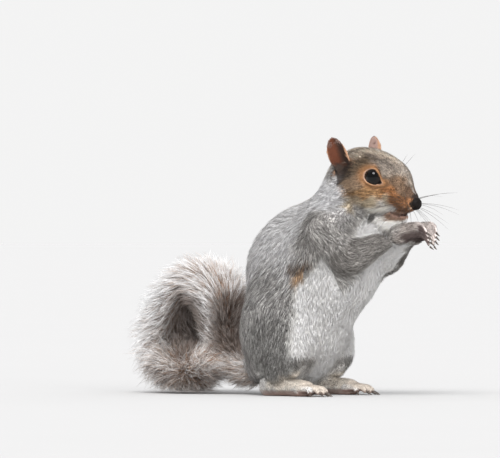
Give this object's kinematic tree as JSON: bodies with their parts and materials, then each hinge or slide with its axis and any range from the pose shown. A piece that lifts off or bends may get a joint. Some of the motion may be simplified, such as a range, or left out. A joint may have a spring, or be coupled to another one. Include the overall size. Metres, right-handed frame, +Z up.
{
  "type": "grey squirrel model",
  "caption": "Life-size still model of a grey squirrel sitting upright on its haunches, forepaws raised to its mouth and bushy tail curled up behind its back.",
  "frame": {"origin": "on the floor, in the middle of the squirrel's length and on its middle plane", "axes": "+X forwards, the way the squirrel faces, +Y to its left, +Z up"},
  "size_m": [0.2493, 0.0878, 0.18],
  "materials": {
    "grey_fur": "short dense fur, grizzled grey with a cream breast and belly",
    "face_fur": "short fur, tawny round the eye and muzzle, cream lips and chin",
    "ear_fur": "thin skin with very short fur",
    "paw_fur": "skin with very short grey fur, dark bare pads",
    "tail_fur": "long loose hair, banded brown and black with silver tips",
    "eye": "wet gloss",
    "nose": "fine pebbled skin, slightly moist",
    "claw": "smooth horn"
  },
  "bodies": {
    "root": {"trunk": "grey_fur", "neck": "grey_fur", "head": "face_fur", "nose": "nose", "eye_left": "eye", "eye_right": "eye", "ear_left": "ear_fur", "ear_right": "ear_fur", "arm_left": "grey_fur", "arm_right": "grey_fur", "forepaw_left": "paw_fur", "forepaw_right": "paw_fur", "forepaw_left_claw_1": "claw", "forepaw_left_claw_2": "claw", "forepaw_left_claw_3": "claw", "forepaw_left_claw_4": "claw", "forepaw_right_claw_1": "claw", "forepaw_right_claw_2": "claw", "forepaw_right_claw_3": "claw", "forepaw_right_claw_4": "claw", "thigh_left": "grey_fur", "thigh_right": "grey_fur", "hind_foot_left": "paw_fur", "hind_foot_right": "paw_fur", "foot_left_claw_1": "claw", "foot_left_claw_2": "claw", "foot_left_claw_3": "claw", "foot_left_claw_4": "claw", "foot_left_claw_5": "claw", "foot_right_claw_1": "claw", "foot_right_claw_2": "claw", "foot_right_claw_3": "claw", "foot_right_claw_4": "claw", "foot_right_claw_5": "claw", "tail_base": "tail_fur", "tail_bend": "tail_fur", "tail_end": "tail_fur"}
  },
  "joints": []
}
